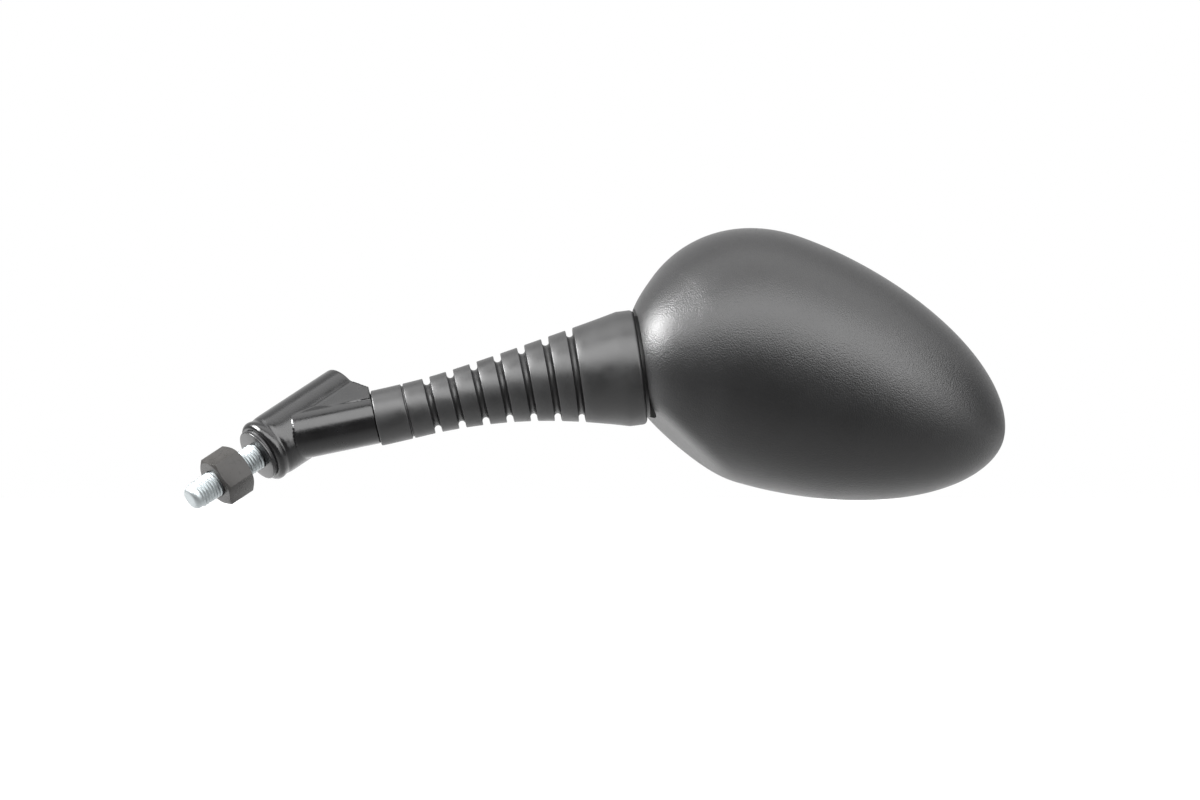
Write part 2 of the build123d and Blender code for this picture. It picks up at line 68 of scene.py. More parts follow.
class MirrorSizes(bpy.types.PropertyGroup):
    """Sizes of the dressed pieces."""

    crossing: FloatProperty(name="Crossing", description="Where the arm's axis leaves the stud's axis",
                            default=33.1 * MM, unit="LENGTH")
    arm_length: FloatProperty(name="Arm", description="Arm from the crossing to the boot",
                              default=34.0 * MM, unit="LENGTH")
    arm_radius: FloatProperty(name="Arm radius", description="Radius of the round arm",
                              default=9.3 * MM, unit="LENGTH")
    barrel_radius: FloatProperty(name="Barrel radius", description="Radius of the barrel on the stud",
                                 default=11.8 * MM, unit="LENGTH")
    barrel_foot: FloatProperty(name="Barrel foot", description="Where the barrel starts on the stud's axis",
                               default=21.7 * MM, unit="LENGTH")
    barrel_length: FloatProperty(name="Barrel", description="Length of the barrel",
                                 default=41.5 * MM, unit="LENGTH")
    web_half: FloatProperty(name="Web", description="Half the thickness of the web",
                            default=10.1 * MM, unit="LENGTH")
    thread_radius: FloatProperty(name="Thread", description="Outer radius of the stud's thread",
                                 default=5.0 * MM, unit="LENGTH")
    thread_pitch: FloatProperty(name="Pitch", description="Pitch of the stud's thread",
                                default=1.25 * MM, unit="LENGTH")
    boot_root: FloatProperty(name="Boot root", description="Radius of the boot where it meets the arm",
                             default=10.3 * MM, unit="LENGTH")
    boot_rim: FloatProperty(name="Boot rim", description="Radius of the boot's collar",
                            default=21.2 * MM, unit="LENGTH")
    boot_length: FloatProperty(name="Boot", description="Length of the boot",
                               default=99.35 * MM, unit="LENGTH")
    egg_big: FloatProperty(name="Egg, big end", description="Length of the egg's big end",
                           default=49.4 * MM, unit="LENGTH")
    egg_small: FloatProperty(name="Egg, small end", description="Length of the egg's small end",
                             default=95.95 * MM, unit="LENGTH")
    egg_half: FloatProperty(name="Egg, half height", description="Radius of the egg at its widest",
                            default=47.08 * MM, unit="LENGTH")
    egg_centre: FloatVectorProperty(name="Egg centre", description="Middle of the egg at its widest",
                                    default=(199.24 * MM, 30.2 * MM, 46.48 * MM), subtype="TRANSLATION",
                                    unit="LENGTH")
    egg_droop: FloatProperty(name="Droop", description="How far the egg's small end hangs",
                             default=math.radians(19.455), subtype="ANGLE")
    rim_forward: FloatProperty(name="Rim", description="The rim's plane in front of the egg's axis",
                               default=16.0 * MM, unit="LENGTH")
    wall: FloatProperty(name="Wall", description="Thickness of the housing's wall",
                        default=2.4 * MM, unit="LENGTH")
    pocket: FloatProperty(name="Pocket", description="Radius of the dish around the ball",
                          default=27.3 * MM, unit="LENGTH")
    glass_curve: FloatProperty(name="Glass curve", description="Radius of the convex glass",
                               default=1.2, unit="LENGTH")


class MirrorFinish(bpy.types.PropertyGroup):
    """Colours and grain of the finishes."""

    plastic: FloatVectorProperty(name="Housing", description="Colour of the grained housing", subtype="COLOR",
                                 default=(0.009, 0.009, 0.0093))
    rubber: FloatVectorProperty(name="Boot", description="Colour of the boot's rubber", subtype="COLOR",
                                default=(0.011, 0.011, 0.0112))
    paint: FloatVectorProperty(name="Casting", description="Colour of the casting's paint", subtype="COLOR",
                               default=(0.0032, 0.0032, 0.0034))
    zinc: FloatVectorProperty(name="Zinc", description="Colour of the zinc plate", subtype="COLOR",
                              default=(0.37, 0.398, 0.407))
    oxide: FloatVectorProperty(name="Nut", description="Colour of the black nut", subtype="COLOR",
                               default=(0.022, 0.0208, 0.0196))
    grain: FloatProperty(name="Grain", description="Size of one pebble of the housing's grain",
                         default=0.5 * MM, unit="LENGTH")
    steps: IntProperty(name="Steps", description="Steps round a turned piece", default=128, min=24)


class Shade:
    """A socket that takes part in Python expressions, which add Math nodes to its tree."""

    def __init__(self, tree, socket):
        self.tree = tree
        self.socket = socket

    def node(self, kind, settings=None, **inputs):
        """Add a node, set it up, then give its sockets values or links."""
        made = self.tree.nodes.new(kind)
        for key, value in (settings or {}).items():
            setattr(made, key, value)
        for key, value in inputs.items():
            numbered = key[0] == "i" and key[1:].isdigit()
            socket = made.inputs[int(key[1:]) if numbered else key.replace("_", " ")]
            if isinstance(value, Shade):
                self.tree.links.new(value.socket, socket)
            else:
                socket.default_value = value
        return made

    def out(self, made, name=0):
        return Shade(self.tree, made.outputs[name])

    def maths(self, operation, first, second):
        return self.out(self.node("ShaderNodeMath", {"operation": operation}, i0=first, i1=second))

    def __add__(self, other):
        return self.maths("ADD", self, other)

    def __sub__(self, other):
        return self.maths("SUBTRACT", self, other)

    def __rsub__(self, other):
        return self.maths("SUBTRACT", other, self)

    def __mul__(self, other):
        return self.maths("MULTIPLY", self, other)

    __radd__ = __add__
    __rmul__ = __mul__


class Finish:
    """One procedural material: a Principled shader and what feeds it."""

    noise_low, noise_high = 0.3, 0.7  # most of a noise lies between these

    def __init__(self, name, **fixed):
        self.material = bpy.data.materials.new(name)
        self.material.use_nodes = True
        tree = self.material.node_tree
        self.shader = next(n for n in tree.nodes if n.type == "BSDF_PRINCIPLED")
        for key, value in fixed.items():
            self.shader.inputs[key.replace("_", " ")].default_value = value
        coords = tree.nodes.new("ShaderNodeTexCoord")
        self.place = Shade(tree, coords.outputs["Object"])
        self.tree = tree

    def noise(self, size, detail=4.0, roughness=0.55):
        made = self.place.node("ShaderNodeTexNoise", Vector=self.place, Scale=1 / size, Detail=detail,
                               Roughness=roughness)
        return self.place.out(made, "Fac")

    def pebbles(self, size):
        """Rounded cells, high in the middle, as in a moulded grain."""
        made = self.place.node("ShaderNodeTexVoronoi", {"feature": "SMOOTH_F1"}, Vector=self.place,
                               Scale=1 / size, Smoothness=0.6)
        return 1 - self.place.out(made, "Distance")

    def ramp(self, value, low, high):
        """Spread a noise between two plain limits."""
        made = self.place.node("ShaderNodeMapRange", Value=value, From_Min=self.noise_low,
                               From_Max=self.noise_high, To_Min=low, To_Max=high)
        return self.place.out(made)

    def tint(self, factor, first, second):
        """Mix two colours; sockets 6 and 7 of the node take colours, and output 2 gives one."""
        made = self.place.node("ShaderNodeMix", {"data_type": "RGBA"}, i0=factor, i6=(*first, 1),
                               i7=(*second, 1))
        return self.place.out(made, 2)

    def clouded(self, noise, first, second):
        """Let the base colour drift between two with a noise."""
        self.feed("Base Color", self.tint(self.ramp(noise, 0.0, 1.0), first, second))

    def feed(self, name, value):
        self.tree.links.new(value.socket, self.shader.inputs[name])

    def bump(self, height, strength, distance):
        made = self.place.node("ShaderNodeBump", Strength=strength, Distance=distance, Height=height)
        self.tree.links.new(made.outputs[0], self.shader.inputs["Normal"])


def scaled(colour, factor):
    return tuple(channel * factor for channel in colour)


def grained_plastic(finish):
    """Matt black moulding with a fine leather-like grain."""
    made = Finish("grained_plastic", IOR=1.5)
    patch = made.noise(18 * MM, detail=3.0)
    pebble = made.pebbles(finish.grain)
    fine = made.noise(finish.grain * 0.45, detail=2.0)
    made.clouded(patch, scaled(finish.plastic, 0.92), scaled(finish.plastic, 1.1))
    made.feed("Roughness", made.ramp(patch, 0.31, 0.36) + fine * 0.05)
    made.bump(pebble * 0.8 + fine * 0.35, 0.8, 0.12 * MM)
    return made.material


def boot_rubber(finish):
    """Moulded rubber: satin, with a faint bloom and a very fine tooth."""
    made = Finish("boot_rubber", IOR=1.6)
    bloom = made.noise(9 * MM, detail=5.0)
    tooth = made.noise(0.35 * MM, detail=3.0)
    made.clouded(bloom, scaled(finish.rubber, 0.85), scaled(finish.rubber, 1.25))
    made.feed("Roughness", made.ramp(bloom, 0.35, 0.50))
    made.bump(tooth + bloom * 0.6, 0.16, 0.08 * MM)
    return made.material


def gloss_paint(finish):
    """Stoved gloss black over a casting, with a slight orange peel."""
    made = Finish("gloss_paint", IOR=1.5, Coat_Roughness=0.18)
    peel = made.noise(1.6 * MM, detail=2.0)
    haze = made.noise(7 * MM, detail=4.0)
    made.clouded(haze, finish.paint, scaled(finish.paint, 1.5))
    made.feed("Roughness", made.ramp(haze, 0.20, 0.28))
    made.feed("Coat Weight", made.ramp(haze, 0.10, 0.04))
    made.bump(peel, 0.10, 0.10 * MM)
    return made.material


def zinc_plate(finish, name="zinc_plate", shine=1.0):
    """Bright zinc over steel, clouded and finely drawn."""
    made = Finish(name, Metallic=1.0)
    cloud = made.noise(2.4 * MM, detail=5.0)
    fine = made.noise(0.25 * MM, detail=3.0)
    made.clouded(cloud, scaled(finish.zinc, 0.86 * shine), scaled(finish.zinc, 1.06 * shine))
    made.feed("Roughness", made.ramp(cloud, 0.42, 0.55))
    made.bump(fine, 0.12, 0.05 * MM)
    return made.material


def black_oxide(finish):
    """Blackened steel: a dull sheen, a little brown, with lighter clouds."""
    made = Finish("black_oxide", IOR=1.31, Metallic=0.05)
    cloud = made.noise(3.0 * MM, detail=6.0)
    fine = made.noise(0.3 * MM, detail=3.0)
    made.clouded(cloud, scaled(finish.oxide, 0.8), scaled(finish.oxide, 1.35))
    made.feed("Roughness", made.ramp(cloud, 0.24, 0.34))
    made.bump(fine, 0.14, 0.05 * MM)
    return made.material


def moulded(name, colour, low, high):
    """Plain moulded nylon, foam or seal rubber."""
    made = Finish(name, IOR=1.5)
    cloud = made.noise(5 * MM, detail=4.0)
    fine = made.noise(0.4 * MM, detail=3.0)
    made.clouded(cloud, scaled(colour, 0.85), scaled(colour, 1.15))
    made.feed("Roughness", made.ramp(cloud, low, high))
    made.bump(fine, 0.15, 0.06 * MM)
    return made.material


def mirror_silver():
    """Silvered glass: near-perfect mirror with a faint blue cast and a trace of haze."""
    made = Finish("mirror_silver", Metallic=1.0, Coat_Weight=0.3, Coat_Roughness=0.01)
    haze = made.noise(40 * MM, detail=2.0)
    made.clouded(haze, (0.84, 0.87, 0.90), (0.88, 0.90, 0.92))
    made.feed("Roughness", made.ramp(haze, 0.012, 0.022))
    return made.material


def finishes():
    """Every finish by name, made once."""
    if not MADE:
        finish = bpy.context.scene.mirror_finish
        MADE.update(
            grained_plastic=grained_plastic(finish),
            boot_rubber=boot_rubber(finish),
            gloss_paint=gloss_paint(finish),
            zinc_plate=zinc_plate(finish),
            spring_steel=zinc_plate(finish, "spring_steel", 0.5),
            black_oxide=black_oxide(finish),
            nylon=moulded("nylon", (0.03, 0.03, 0.031), 0.35, 0.45),
            seal_rubber=moulded("seal_rubber", (0.014, 0.014, 0.014), 0.55, 0.7),
            foam=moulded("foam", (0.06, 0.06, 0.06), 0.85, 0.95),
            mirror_silver=mirror_silver(),
        )
    return MADE


def lathe(section, centre, axis, steps):
    """Spin a half-section of (radius, height) points about an axis."""
    side = axis.orthogonal().normalized()
    bm = bmesh.new()
    points = [bm.verts.new(centre + side * radius + axis * height) for radius, height in section]
    lines = [bm.edges.new(pair) for pair in zip(points, points[1:])]
    bmesh.ops.spin(bm, geom=points + lines, cent=centre, axis=axis, angle=math.tau, steps=steps,
                   use_merge=True)
    bmesh.ops.remove_doubles(bm, verts=bm.verts, dist=NEAR)
    bmesh.ops.recalc_face_normals(bm, faces=bm.faces)
    return bm


def arc(radius, centre, start, end, count):
    """Half-section points on an arc, with angles in degrees from the radial direction."""
    turns = [math.radians(start + (end - start) * i / count) for i in range(count + 1)]
    return [(centre[0] + radius * math.cos(a), centre[1] + radius * math.sin(a)) for a in turns]


def join_into(target, source):
    """Add one bmesh to another."""
    mesh = bpy.data.meshes.new("passing")
    source.to_mesh(mesh)
    source.free()
    target.from_mesh(mesh)
    bpy.data.meshes.remove(mesh)


def finish_piece(bm, name, body, material, replaces=(), crease=32.0):
    """Turn a bmesh into a shaded piece that rides on a body."""
    for face in bm.faces:
        face.smooth = True
    for edge in bm.edges:
        edge.smooth = edge.calc_face_angle(0.0) < math.radians(crease)
    mesh = bpy.data.meshes.new(name)
    bm.to_mesh(mesh)
    bm.free()
    mesh.materials.append(finishes()[material])
    piece = bpy.data.objects.new(name, mesh)
    bpy.context.collection.objects.link(piece)
    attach(piece, body)
    if replaces:
        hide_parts(*replaces)
    return piece


def rounded(bm, edges, offset, segments):
    """Round off some edges."""
    bmesh.ops.bevel(bm, geom=edges, offset=offset, offset_type="OFFSET", segments=segments, profile=0.5,
                    affect="EDGES", material=-1, clamp_overlap=True)


def held(bm, name):
    """Hold a bmesh in an object, for as long as a modifier needs it."""
    mesh = bpy.data.meshes.new(name)
    bm.to_mesh(mesh)
    bm.free()
    made = bpy.data.objects.new(name, mesh)
    bpy.context.collection.objects.link(made)
    return made


def taken_back(shape, *helpers):
    """A held object as its modifiers leave it, in a new bmesh; it and its helpers are deleted."""
    bm = bmesh.new()
    bm.from_mesh(shape.evaluated_get(bpy.context.evaluated_depsgraph_get()).to_mesh())
    for made in (shape, *helpers):
        mesh = made.data
        bpy.data.objects.remove(made)
        bpy.data.meshes.remove(mesh)
    return bm


def remeshed(bm, voxel, passes):
    """Fuse overlapping forms into one skin with softened edges, as a casting has."""
    rough = held(bm, "rough_casting")
    skin = rough.modifiers.new("skin", "REMESH")
    skin.mode = "VOXEL"
    skin.voxel_size = voxel
    fused = taken_back(rough)
    for _ in range(passes):
        bmesh.ops.smooth_vert(fused, verts=fused.verts, factor=0.5, use_axis_x=True, use_axis_y=True,
                              use_axis_z=True)
    return fused


def scooped(bm, tool):
    """Take one closed skin out of another."""
    whole, scoop = held(bm, "whole"), held(tool, "scoop")
    knife = whole.modifiers.new("scoop", "BOOLEAN")
    knife.operation = "DIFFERENCE"
    knife.solver = "EXACT"
    knife.object = scoop
    return taken_back(whole, scoop)


def arm_lines(sizes):
    """Crossing of the stud and the arm, the arm's axis, its up direction and the boot's root."""
    crossing = STUD_AXIS * sizes.crossing
    axis = (BALL - crossing).normalized()
    viewer = (BACK - axis * BACK.dot(axis)).normalized()
    return crossing, axis, viewer.cross(axis), crossing + axis * sizes.arm_length


def round_bar(start, axis, length, radius, edge, steps):
    """Solid bar with rounded ends."""
    section = [(0, 0), *arc(edge, (radius - edge, edge), -90, 0, 5),
               *arc(edge, (radius - edge, length - edge), 0, 90, 5), (0, length)]
    return lathe(section, start, axis, steps)


class MIRROR_OT_casting(bpy.types.Operator):
    """Gloss black casting: barrel, arm and web fused into one skin"""

    bl_idname = "mirror.casting"
    bl_label = "Arm casting"

    foot_round, foot_inset, top_round = 2.0 * MM, 1.9 * MM, 0.9 * MM
    # The waist above the barrel's foot, as depth below the barrel's radius and height.
    waist = ((0.1 * MM, 3.2 * MM), (0.5 * MM, 4.2 * MM), (0.1 * MM, 5.6 * MM), (0.0, 7.5 * MM))
    bar_from, bar_shorter, bar_edge, bar_skew = 4.5 * MM, 4.2 * MM, 0.3 * MM, 3.0 * MM
    web_rise, web_below_top = 6.7 * MM, 1.0 * MM
    voxel, smoothings = 0.33 * MM, 2

    def barrel(self, sizes, steps):
        """Round barrel on the stud, with a rolled foot and a waist."""
        top, radius = sizes.barrel_length, sizes.barrel_radius
        section = [(0, 0), *arc(self.foot_round, (radius - self.foot_inset, self.foot_round), -90, 0, 8),
                   *((radius - depth, height) for depth, height in self.waist),
                   *arc(self.top_round, (radius - self.top_round, top - self.top_round), 0, 90, 6), (0, top)]
        return lathe(section, STUD_AXIS * sizes.barrel_foot, STUD_AXIS, steps)

    def bar(self, sizes, steps):
        """Round arm, skewed so that its root stands out from the barrel on the camera's side."""
        crossing, arm, up, _ = arm_lines(sizes)
        near_side = arm.cross(up)
        bm = round_bar(crossing + arm * self.bar_from, arm, sizes.arm_length - self.bar_shorter,
                       sizes.arm_radius, self.bar_edge, steps)
        for vert in bm.verts:
            along = (vert.co - crossing).dot(arm) / sizes.arm_length
            vert.co += near_side * self.bar_skew * (1 - along)
        return bm

    def web(self, sizes):
        """Flat-cheeked web between the barrel and the arm."""
        crossing, arm, _, root = arm_lines(sizes)
        cheek = STUD_AXIS.cross(arm).normalized()
        rise = (STUD_AXIS - arm * arm.dot(STUD_AXIS)).normalized()
        corners = (crossing, root, root + rise * self.web_rise,
                   STUD_AXIS * (sizes.barrel_foot + sizes.barrel_length - self.web_below_top))
        bm = bmesh.new()
        bm.faces.new([bm.verts.new(corner - cheek * sizes.web_half) for corner in corners])
        grown = bmesh.ops.extrude_face_region(bm, geom=list(bm.faces))["geom"]
        bmesh.ops.translate(bm, verts=[g for g in grown if isinstance(g, bmesh.types.BMVert)],
                            vec=cheek * 2 * sizes.web_half)
        bmesh.ops.recalc_face_normals(bm, faces=bm.faces)
        return bm

    def execute(self, context):
        sizes, steps = context.scene.mirror_sizes, context.scene.mirror_finish.steps
        bm = self.barrel(sizes, steps)
        join_into(bm, self.bar(sizes, steps))
        join_into(bm, self.web(sizes))
        finish_piece(remeshed(bm, self.voxel, self.smoothings), "casting_skin", "arm", "gloss_paint",
                     ("arm_casting",), crease=75)
        return {"FINISHED"}


class MIRROR_OT_stud(bpy.types.Operator):
    """Zinc-plated stud with a cut thread, and the black foot flange above it"""

    bl_idname = "mirror.stud"
    bl_label = "Stud"

    tip, tip_flat, tip_round = -11.3 * MM, 2.6 * MM, 1.9 * MM
    lead_from, lead_to = 2.7 * MM, 3.1 * MM
    foot, foot_radius, foot_height, foot_edge = 19.9 * MM, 9.8 * MM, 1.1 * MM, 0.35 * MM
    core_into_foot = 1.0 * MM
    thread_depth, thread_steps = 0.34, 48
    # Start and length of the threads below and above the nut.
    threads = ((-8.9 * MM, 9.0 * MM), (11.9 * MM, 8.3 * MM))

    def thread(self, sizes, start, length):
        """One screw thread, from start along the stud."""
        pitch, crest = sizes.thread_pitch, sizes.thread_radius
        root = crest - self.thread_depth * pitch
        tooth = ((root, 0), (crest, 0.40), (crest, 0.54), (root, 0.94), (root, 1))
        side = STUD_AXIS.orthogonal().normalized()
        bm = bmesh.new()
        points = [bm.verts.new(side * radius + STUD_AXIS * (start + part * pitch)) for radius, part in tooth]
        lines = [bm.edges.new(pair) for pair in zip(points, points[1:])]
        turns = int(length / pitch)
        bmesh.ops.spin(bm, geom=points + lines, cent=(0, 0, 0), axis=STUD_AXIS, angle=math.tau * turns,
                       steps=self.thread_steps * turns, dvec=STUD_AXIS * pitch / self.thread_steps)
        bmesh.ops.remove_doubles(bm, verts=bm.verts, dist=NEAR)
        bmesh.ops.recalc_face_normals(bm, faces=bm.faces)
        return bm

    def execute(self, context):
        sizes, steps = context.scene.mirror_sizes, context.scene.mirror_finish.steps
        tip, foot = self.tip, self.foot
        core = sizes.thread_radius - self.thread_depth * sizes.thread_pitch
        section = [(0, tip), *arc(self.tip_round, (self.tip_flat, tip + self.tip_round), -90, 0, 10),
                   (self.tip_flat + self.tip_round, tip + self.lead_from), (core, tip + self.lead_to),
                   (core, foot + self.core_into_foot), (0, foot + self.core_into_foot)]
        bm = lathe(section, Vector(), STUD_AXIS, steps)
        for start, length in self.threads:
            join_into(bm, self.thread(sizes, start, length))
        finish_piece(bm, "stud_thread", "mount", "zinc_plate", ("stud",), crease=28)
        edge, middle = self.foot_edge, self.foot_radius - self.foot_edge
        foot_top = foot + self.foot_height
        ring = [(core, foot), *arc(edge, (middle, foot + edge), -90, 0, 4),
                *arc(edge, (middle, foot_top - edge), 0, 90, 4), (core, foot_top)]
        finish_piece(lathe(ring, Vector(), STUD_AXIS, steps), "stud_foot", "mount", "gloss_paint")
        return {"FINISHED"}


class MIRROR_OT_nut(bpy.types.Operator):
    """Black lock nut with softened corners"""

    bl_idname = "mirror.nut"
    bl_label = "Lock nut"

    flat, corner, corner_round = math.radians(2), math.radians(24), 0.4 * MM

    def execute(self, context):
        bm = bmesh.new()
        bm.from_mesh(frame["nodes"]["lock_nut"].data)
        bmesh.ops.remove_doubles(bm, verts=bm.verts, dist=NEAR)
        bmesh.ops.dissolve_limit(bm, angle_limit=self.flat, verts=bm.verts, edges=bm.edges)
        rounded(bm, [e for e in bm.edges if e.calc_face_angle(0.0) > self.corner], self.corner_round, 3)
        bmesh.ops.recalc_face_normals(bm, faces=bm.faces)
        finish_piece(bm, "nut_black", "nut", "black_oxide", ("lock_nut",), crease=35)
        return {"FINISHED"}


class MIRROR_OT_boot(bpy.types.Operator):
    """Ribbed rubber boot with U-shaped grooves, bowed as it hangs on the arm"""

    bl_idname = "mirror.boot"
    bl_label = "Boot"

    root_hole, root_start, root_edge = 6.4 * MM, 0.4 * MM, 0.5 * MM
    slit, slit_half = 12.3 * MM, 0.4 * MM
    first_groove, groove_pitch, grooves = 21.6 * MM, 8.97 * MM, 7
    groove_half, groove_edge, edge_bulge = 1.32 * MM, 0.28 * MM, 0.3
    flare_from, flare_to, flare_power = 17.0 * MM, 93.0 * MM, 1.7
    # Where the smooth stretches have their section points.
    before_slit, after_slit = (4 * MM, 7 * MM, 10 * MM), (15 * MM, 18 * MM)
    collar, collar_edge = tuple(along * MM for along in range(83, 98, 2)), 1.6 * MM
    # The lip inside the collar and the hollow behind it, as radius and distance past the boot's end.
    inside = ((18.8 * MM, 0.0), (18.6 * MM, 1.2 * MM), (18.0 * MM, 1.5 * MM), (17.6 * MM, 0.0),
              (16.0 * MM, -5 * MM), (12.9 * MM, -18 * MM))
    # The bow across the boot's length, as factors of the first to fourth power of the way along.
    bow = (0.0, 17.9 * MM, -33.2 * MM, 14.1 * MM)

    def radius(self, sizes, along):
        reach = min(1.0, max(0.0, (along - self.flare_from) / (self.flare_to - self.flare_from)))
        return sizes.boot_root + (sizes.boot_rim - sizes.boot_root) * reach ** self.flare_power

    def groove(self, sizes, middle, half):
        """Section points of one groove: rounded lips, straight walls and a round floor."""
        near, far, edge = middle - half, middle + half, self.groove_edge
        near_lip, far_lip = self.radius(sizes, near), self.radius(sizes, far)
        bulge = edge * self.edge_bulge
        floor = min(near_lip, far_lip) - half
        turns = [math.radians(turn) for turn in range(0, 181, 20)]
        return [(self.radius(sizes, near - edge), near - edge), (near_lip - bulge, near - bulge),
                (near_lip - edge, near),
                *((floor - half * math.sin(turn), middle - half * math.cos(turn)) for turn in turns),
                (far_lip - edge, far), (far_lip - bulge, far + bulge),
                (self.radius(sizes, far + edge), far + edge)]

    def smooth_stretch(self, sizes, places):
        return [(self.radius(sizes, along), along) for along in places]

    def section(self, sizes):
        """Half-section of the whole boot, from the arm along the outside to the hollow."""
        root_middle = (sizes.boot_root - self.root_edge, self.root_start + self.root_edge)
        points = [(self.root_hole, self.root_start), *arc(self.root_edge, root_middle, -90, 0, 4),
                  *self.smooth_stretch(sizes, self.before_slit),
                  *self.groove(sizes, self.slit, self.slit_half),
                  *self.smooth_stretch(sizes, self.after_slit)]
        for i in range(self.grooves):
            middle = self.first_groove + i * self.groove_pitch
            points += self.groove(sizes, middle, self.groove_half)
            points += self.smooth_stretch(sizes, [middle + self.groove_pitch / 2])
        points += self.smooth_stretch(sizes, self.collar)
        edge, end = self.collar_edge, sizes.boot_length
        points += arc(edge, (sizes.boot_rim - edge, end - edge), 0, 90, 6)
        return points + [(radius, end + past) for radius, past in self.inside]

    def execute(self, context):
        sizes, steps = context.scene.mirror_sizes, context.scene.mirror_finish.steps
        _, axis, up, root = arm_lines(sizes)
        bm = lathe(self.section(sizes), root, axis, steps)
        for vert in bm.verts:
            part = (vert.co - root).dot(axis) / sizes.boot_length
            lift = sum(c * part ** (k + 1) for k, c in enumerate(self.bow))
            slope = sum((k + 1) * c * part ** k for k, c in enumerate(self.bow)) / sizes.boot_length
            high = (vert.co - root).dot(up)
            vert.co += up * lift - axis * slope * high
        finish_piece(bm, "boot_sleeve", "arm", "boot_rubber", ("boot",), crease=50)
        return {"FINISHED"}


def egg_axis(sizes):
    """Direction along the egg, from its big end to its small end."""
    return Vector((math.cos(sizes.egg_droop), 0, -math.sin(sizes.egg_droop)))


def loop_edges(bm, point, normal):
    """Open edges that lie in a plane."""
    return [e for e in bm.edges if e.is_boundary
            and all(abs((v.co - point).dot(normal)) < NEAR for v in e.verts)]


def ends_of(edges):
    """The vertices of some edges, each once and in a steady order."""
    return list(dict.fromkeys(v for e in edges for v in e.verts))


def step_loop(bm, edges, move):
    """Extrude an open loop by moving each new point, and give back its new open edges."""
    grown = bmesh.ops.extrude_edge_only(bm, edges=edges)["geom"]
    for vert in (g for g in grown if isinstance(g, bmesh.types.BMVert)):
        vert.co = move(vert.co.copy())
    return [g for g in grown if isinstance(g, bmesh.types.BMEdge) and g.is_boundary]


def cut(bm, point, normal):
    """Cut away what lies beyond a plane."""
    bmesh.ops.bisect_plane(bm, geom=[*bm.verts, *bm.edges, *bm.faces], dist=NEAR, plane_co=point,
                           plane_no=normal, clear_outer=True)


